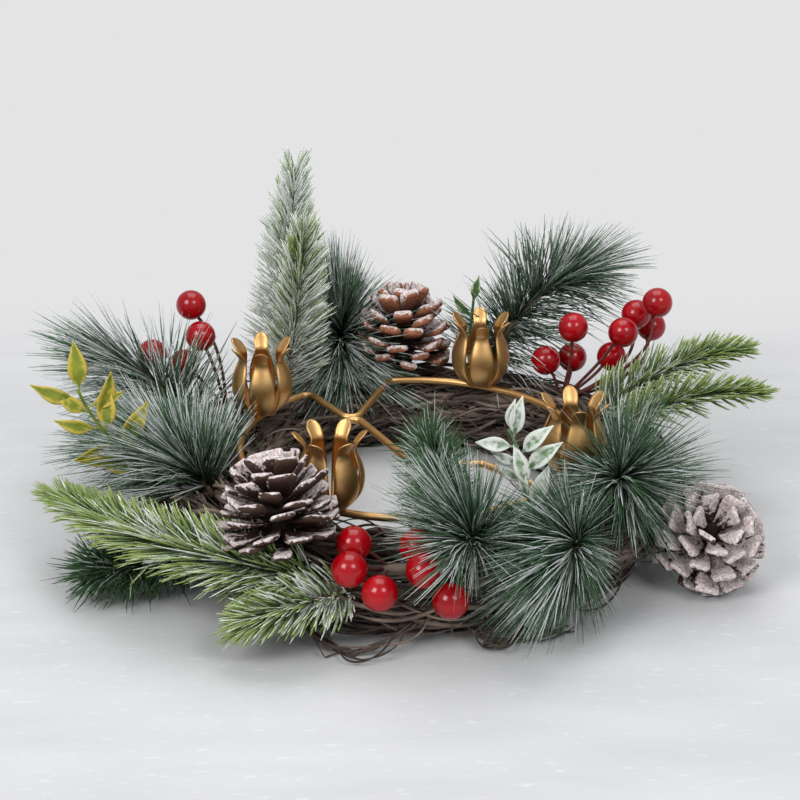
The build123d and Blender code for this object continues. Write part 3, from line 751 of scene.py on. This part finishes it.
def tinsel(name, angle, rise, middle, tip, facing, count, length, frost):
    """A tinsel pick: short thin needles all round its stem, at loose angles."""
    route = stem_points(angle, rise, middle, tip)
    share = chance.uniform(0.06, 1.0, count)
    azimuth = chance.uniform(-math.pi, math.pi, count)
    lean = np.radians(70 - 36 * share + chance.normal(0, 22, count))
    size = length * mm * chance.uniform(0.7, 1.15, count)
    curl = chance.normal(0, 0.14, (count, 3))
    white = np.where(chance.random(count) < frost, 0.75, 0.1) + chance.normal(0, 0.12, count)
    needles = needle_set(
        route, unit(local(angle, facing)), share, azimuth, lean, size, curl,
        np.full(count, tinsel_half_width), 0.7, pine_profile, white,
    )
    make_piece(name, [needles, stem_tube(route, 1.4 * mm, 0.4)], tinsel_green)


fir(
    "fir_back_tall_look", 121, 62, (5, 1, 62), (13, -6, 120), (-1, 0, 0.1),
    count=820, length=26, frost=1.05, taper=0.6, fuller=0.35,
)
fir(
    "fir_back_short_look", 131, 90, (-3, -8, 45), (0, -16, 87), (-1, 0, 0.1),
    count=640, length=24, frost=0.75, taper=0.5,
)
fir(
    "fir_left_long_look", 252, 25, (8, -70, 12), (-31, -148, 8), (0, 0, 1),
    count=1250, length=26, frost=0.18, taper=0.5,
)
fir(
    "fir_front_small_look", 258, 8, (16, -20, 3), (24, -42, -4), (0.3, 0, 1),
    count=560, length=19, frost=0.36,
)
fir(
    "fir_right_upper_look", 29, 77, (32, -22, 26), (60, -46, 39), (-0.3, 0, 1),
    count=520, length=21, frost=0.2, taper=0.6,
)
fir(
    "fir_right_lower_look", 17, 84, (33, -18, 19), (64, -39, 26), (0, 0, 1),
    count=520, length=21, frost=0.22, taper=0.6,
)

tuft(
    "tuft_left_back_look", 159, 56, (17, 3, 17), (35, 9, 33), (0, 0.6, 1),
    lean_ends=(76, 8), length=58, count=900, frost=0.66, fan=(-105, 0.7, 0),
)
tuft(
    "tuft_left_mid_look", 205, 90, (9, -9, 10), (24, -24, 16), (0, -0.1, 1),
    lean_ends=(58, 8), length=54, count=1900, frost=0.5, fan=(-10, 0.5, -0.08),
)
tuft(
    "tuft_back_centre_look", 108, 60, (5, 0, 14), (11, -1, 28), (0.3, 0.5, 1),
    lean_ends=(148, 12), length=54, count=2600, frost=0.5, fan=(30, 1.4, 0.15),
)
tuft(
    "tuft_back_right_look", 69, 87, (18, -19, 36), (38, -42, 56), (0, 0.5, 1),
    lean_ends=(80, 22), length=50, count=1000, frost=0.42,
)
tuft(
    "tuft_right_look", 335, 80, (4, -13, 11), (8, -27, 19), (0, 0, 1),
    lean_ends=(84, 16), length=50, count=1150, frost=0.34, fan=(-60, 0.2, 0.15),
)
tuft(
    "tuft_front_right_look", 310, 62, (9, -10, 4), (18, -22, 4), (0, 0, 1),
    lean_ends=(82, 14), length=42, count=1500, frost=0.36, fan=(104, 1.3, 0.42),
)
tuft(
    "tuft_front_centre_look", 285, 82, (9, -3, 8), (19, -8, 12), (0, 0, 1),
    lean_ends=(80, 14), length=46, count=800, frost=0.42, fan=(34, 4.0, 0.2),
)

tinsel(
    "tinsel_centre_look", 277, 100, (-8, 1, 22), (-32, -1, 36), (0, 0, 1),
    count=1700, length=19, frost=0.2,
)
tinsel(
    "tinsel_left_look", 217, -10, (20, -8, -1), (38, -16, -3), (0, 0, 1),
    count=1200, length=20, frost=0.1,
)


# Leaves
leaf_sides = 10
leaf_slimness = 0.19
leaf_half_thickness = 0.3 * mm
leaf_stem_radius = 0.8 * mm


def leaf_sprig(name, angle, rise, middle, tip, facing, count, length, stalk, material):
    """Pointed leaves on a stem, to its two sides by turns and one at the tip. A leaf is a thin oval carried
    along a line that droops, as wide as a half sine wave past its stalk, and folded upwards along its midrib.
    The stalk is a share of the length."""
    route = stem_points(angle, rise, middle, tip)
    share = np.linspace(0.22, 0.96, count)
    place, heading = quadratic(*route, share[:, None])
    face = unit(local(angle, facing))
    up = unit(face - heading * (heading @ face)[:, None])
    beside = np.cross(heading, up)
    by_turns = np.where(np.arange(count) % 2 == 0, 1.0, -1.0)
    by_turns[-1] = 0.0
    turn = (by_turns * math.radians(52) + chance.normal(0, 0.3, count))[:, None]
    twist = chance.normal(0.1, 0.35, count)[:, None]
    way = unit(heading * np.cos(turn) + beside * np.sin(turn) + 0.35 * up)
    top = unit(up - way * (way * up).sum(axis=1, keepdims=True))
    top, side = rolled(top, np.cross(top, way), twist)
    t = np.linspace(0, 1, 13)
    blade = np.clip((t - stalk) / (1 - stalk), 0, 1)
    outline = np.maximum(np.sin(math.pi * blade**0.85), 0.07)
    size = length * mm * chance.uniform(0.7, 1.2, count)
    line = way[:, None] * t[:, None] - (0.34 * top)[:, None] * (t**2)[:, None]
    centres = place[:, None] + line * size[:, None, None]
    half_width = leaf_slimness * size[:, None] * outline
    rim = np.abs(np.cos(2 * math.pi * np.arange(leaf_sides) / leaf_sides))
    leaves = tubes(
        centres, side[:, None], top[:, None], half_width, leaf_half_thickness, leaf_sides, fold=0.3,
        along=t[None, :, None], edge=rim, tone=chance.uniform(0, 1, count)[:, None, None],
    )
    line = quadratic(*route, np.linspace(0, 1, 20)[:, None])[0][None]
    stem = round_tube(line, leaf_stem_radius, 7, along=0.2, edge=0.1, tone=0.2)
    make_piece(name, [leaves, stem], material)


leaf_sprig(
    "leaf_sprig_left_look", 197, 45, (24, 0, 28), (40, -2, 58), (0.3, 0.95, 0.3),
    count=13, length=22, stalk=0.2, material=leaf_yellow,
)
leaf_sprig(
    "leaf_sprig_centre_look", 301, 95, (-7, 2, 24), (-16, -2, 46), (0.6, -0.8, 0.3),
    count=10, length=20, stalk=0.15, material=leaf_frosted,
)
leaf_sprig(
    "leaf_sprig_back_look", 75, 85, (2, -4, 22), (5, -6, 46), (-1, 0, 0.2),
    count=5, length=14, stalk=0.1, material=leaf_green,
)


# Floor, light and camera
def floor_finish():
    """Pale foam table. Past its back edge the camera and mirrors see the pale wall behind it instead, at the
    wall's own brightness, and everything else still sees the table."""
    look = Finish("floor", 0.9, Specular_IOR_Level=0.1)
    pale = linear(228, 228, 229)
    nodes = look.tree.nodes
    place = nodes.new("ShaderNodeTexCoord")
    parts = nodes.new("ShaderNodeSeparateXYZ")
    look.link(place.outputs["Object"], parts.inputs["Vector"])
    foam = look.ramp(look.noise(30, 5.0, (0.25, 1, 1)), (0.3, (196, 196, 197)), (0.7, (206, 206, 207)))
    fleck = look.fade(look.noise(330, 2.0, (0.3, 1, 1)), 0.6, 0.74)
    look.colour(look.mix(look.combine("MULTIPLY", fleck, 0.35), foam, pale))
    path = nodes.new("ShaderNodeLightPath")
    seen = look.combine("MAXIMUM", path.outputs["Is Camera Ray"], path.outputs["Is Glossy Ray"])
    seen = look.combine("MAXIMUM", seen, path.outputs["Is Transmission Ray"])
    wall = nodes.new("ShaderNodeEmission")
    wall.inputs["Color"].default_value = pale
    blend = nodes.new("ShaderNodeMixShader")
    look.link(look.combine("MULTIPLY", seen, look.fade(parts.outputs["Y"], 0.15, 0.36)), blend.inputs["Fac"])
    look.link(look.shader.outputs["BSDF"], blend.inputs[1])
    look.link(wall.outputs["Emission"], blend.inputs[2])
    look.link(blend.outputs["Shader"], nodes["Material Output"].inputs["Surface"])
    return look.material


bpy.ops.mesh.primitive_plane_add(size=8.0)
floor = bpy.context.object
floor.name = "floor"
floor.data.materials.append(floor_finish())


def softbox(name, place, size, power):
    """A square area lamp aimed at the middle of the ring."""
    lamp = bpy.data.lights.new(name, "AREA")
    lamp.energy = power
    lamp.size = size
    box = bpy.data.objects.new(name, lamp)
    bpy.context.collection.objects.link(box)
    box.location = place
    aim = np.array([0.0, 0.0, 0.05]) - np.array(place)
    tilt = math.acos(-aim[2] / np.linalg.norm(aim))
    box.rotation_euler = (tilt, 0, math.atan2(aim[1], aim[0]) - math.pi / 2)


softbox("softbox_left", (-0.9, -1.0, 1.1), size=0.7, power=14)
softbox("softbox_right", (0.7, -1.1, 1.2), size=0.6, power=8)
softbox("softbox_top", (0.0, 0.4, 1.6), size=1.2, power=12)
world = bpy.data.worlds.new("studio")
world.use_nodes = True
sky = world.node_tree.nodes["Background"].inputs
sky["Color"].default_value = linear(225, 228, 232)
sky["Strength"].default_value = 0.62
bpy.context.scene.world = world
bpy.context.scene.view_settings.view_transform = "Standard"

lens = bpy.data.cameras.new("camera")
lens.lens = camera_lens
lens.sensor_width = 36
camera = bpy.data.objects.new("camera", lens)
camera.location = camera_place
camera.rotation_euler = (math.radians(90 - camera_pitch), 0, 0)
bpy.context.collection.objects.link(camera)
bpy.context.scene.camera = camera
